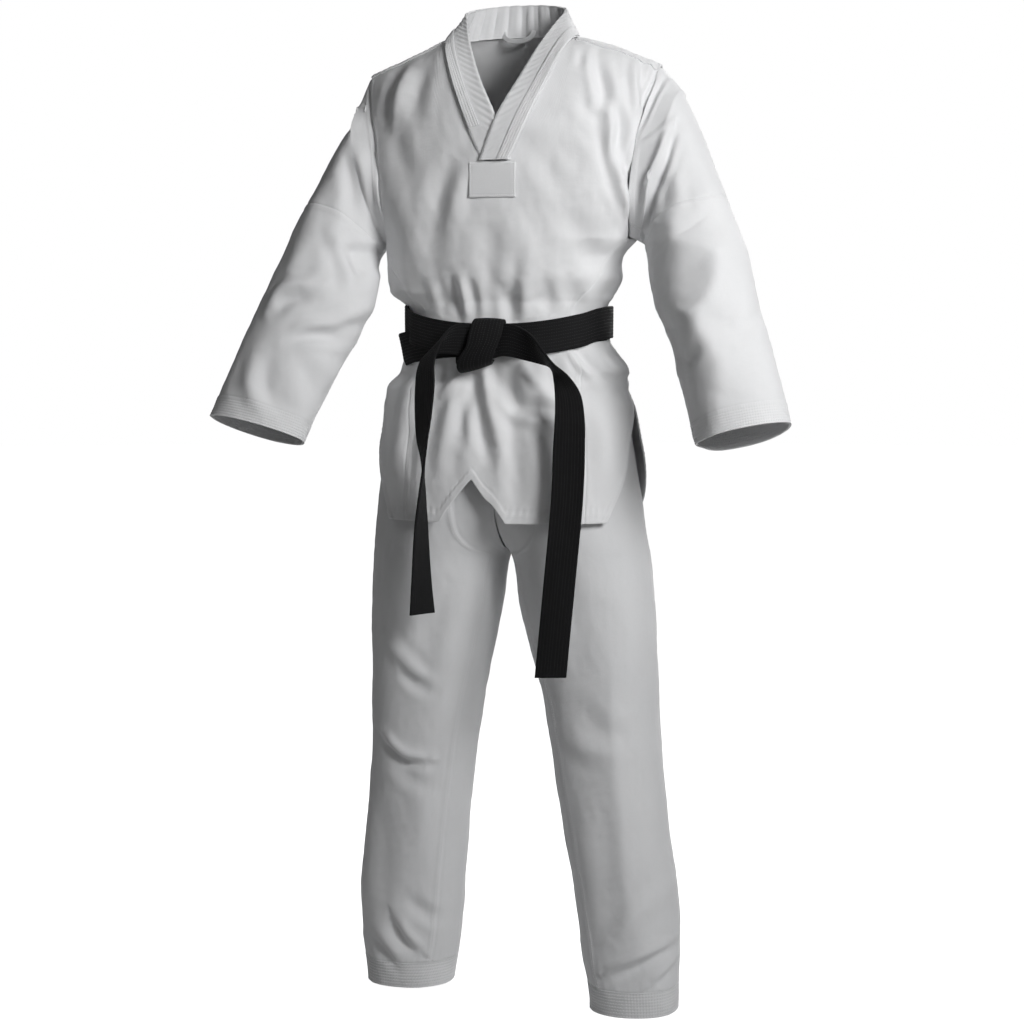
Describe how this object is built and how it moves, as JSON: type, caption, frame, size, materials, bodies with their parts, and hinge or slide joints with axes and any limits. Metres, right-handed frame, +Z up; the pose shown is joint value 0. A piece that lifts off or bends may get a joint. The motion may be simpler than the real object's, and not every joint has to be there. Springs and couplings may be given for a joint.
{
  "type": "martial arts uniform",
  "caption": "V-neck pullover training jacket with side vents, straight trousers and a knotted belt with hanging ends, held in the shape of a standing wearer.",
  "frame": {"origin": "middle of the neck base, where the wearer's shoulders carry the jacket", "axes": "+Z up, -Y the way the front faces, +X the wearer's left"},
  "size_m": [0.8052, 0.3281, 1.4061],
  "materials": {
    "belt_cloth": "satin",
    "trim_cloth": "matte",
    "trouser_cloth": "matte",
    "jacket_cloth": "matte",
    "elastic": "matte"
  },
  "bodies": {
    "garment": {"back_panel": "jacket_cloth", "belt_inner_wrap": "belt_cloth", "belt_outer_wrap": "belt_cloth", "collar_back": "trim_cloth", "collar_trim_left": "trim_cloth", "collar_trim_right": "trim_cloth", "crotch_gusset": "trouser_cloth", "front_panel": "jacket_cloth", "hanger_loop": "trim_cloth", "knot_band": "belt_cloth", "knot_fold": "belt_cloth", "knot_lobe_left": "belt_cloth", "knot_lobe_right": "belt_cloth", "lapel_left": "jacket_cloth", "lapel_right": "jacket_cloth", "shoulder_yoke_left": "jacket_cloth", "shoulder_yoke_right": "jacket_cloth", "side_panel_left": "jacket_cloth", "side_panel_right": "jacket_cloth", "skirt_front": "jacket_cloth", "skirt_side_left": "jacket_cloth", "skirt_side_right": "jacket_cloth", "v_patch": "trim_cloth", "waist_elastic": "elastic", "waistband": "trouser_cloth"},
    "sleeve_left": {"sleeve_upper_left": "jacket_cloth", "underarm_gusset_left": "jacket_cloth", "sleeve_lower_left": "jacket_cloth", "sleeve_cuff_left": "jacket_cloth"},
    "trouser_leg_left": {"leg_left_front": "trouser_cloth", "leg_left_back": "trouser_cloth", "leg_hem_left": "trouser_cloth"},
    "belt_end_left": {"belt_tail_left": "belt_cloth"},
    "sleeve_right": {"sleeve_upper_right": "jacket_cloth", "underarm_gusset_right": "jacket_cloth", "sleeve_lower_right": "jacket_cloth", "sleeve_cuff_right": "jacket_cloth"},
    "trouser_leg_right": {"leg_right_front": "trouser_cloth", "leg_right_back": "trouser_cloth", "leg_hem_right": "trouser_cloth"},
    "belt_end_right": {"belt_tail_right": "belt_cloth"},
    "back_skirt": {"skirt_back": "jacket_cloth"}
  },
  "joints": [
    {"name": "sleeve_left_raise", "type": "hinge", "parent": "garment", "child": "sleeve_left", "pos_m": [0.194, -0.03, -0.19], "axis": [0, -1, 0], "range_deg": [0, 35], "deforming": ["sleeve_upper_left", "underarm_gusset_left"]},
    {"name": "trouser_leg_left_spread", "type": "hinge", "parent": "garment", "child": "trouser_leg_left", "pos_m": [0.104, 0, -0.705], "axis": [0, -1, 0], "range_deg": [0, 18], "deforming": ["leg_left_front", "leg_left_back"]},
    {"name": "sleeve_right_raise", "type": "hinge", "parent": "garment", "child": "sleeve_right", "pos_m": [-0.182, -0.03, -0.19], "axis": [0, 1, 0], "range_deg": [0, 35], "deforming": ["sleeve_upper_right", "underarm_gusset_right"]},
    {"name": "trouser_leg_right_spread", "type": "hinge", "parent": "garment", "child": "trouser_leg_right", "pos_m": [-0.104, 0, -0.705], "axis": [0, 1, 0], "range_deg": [0, 18], "deforming": ["leg_right_front", "leg_right_back"]},
    {"name": "belt_end_left_lift", "type": "hinge", "parent": "garment", "child": "belt_end_left", "pos_m": [0.052, -0.122, -0.411], "axis": [-1, 0, 0], "range_deg": [0, 75], "deforming": ["belt_tail_left"]},
    {"name": "belt_end_right_lift", "type": "hinge", "parent": "garment", "child": "belt_end_right", "pos_m": [-0.05, -0.119, -0.405], "axis": [-1, 0, 0], "range_deg": [0, 75], "deforming": ["belt_tail_right"]},
    {"name": "back_skirt_lift", "type": "hinge", "parent": "garment", "child": "back_skirt", "pos_m": [-0.004, 0.055, -0.49], "axis": [1, 0, 0], "range_deg": [0, 40], "deforming": ["skirt_back"]}
  ]
}
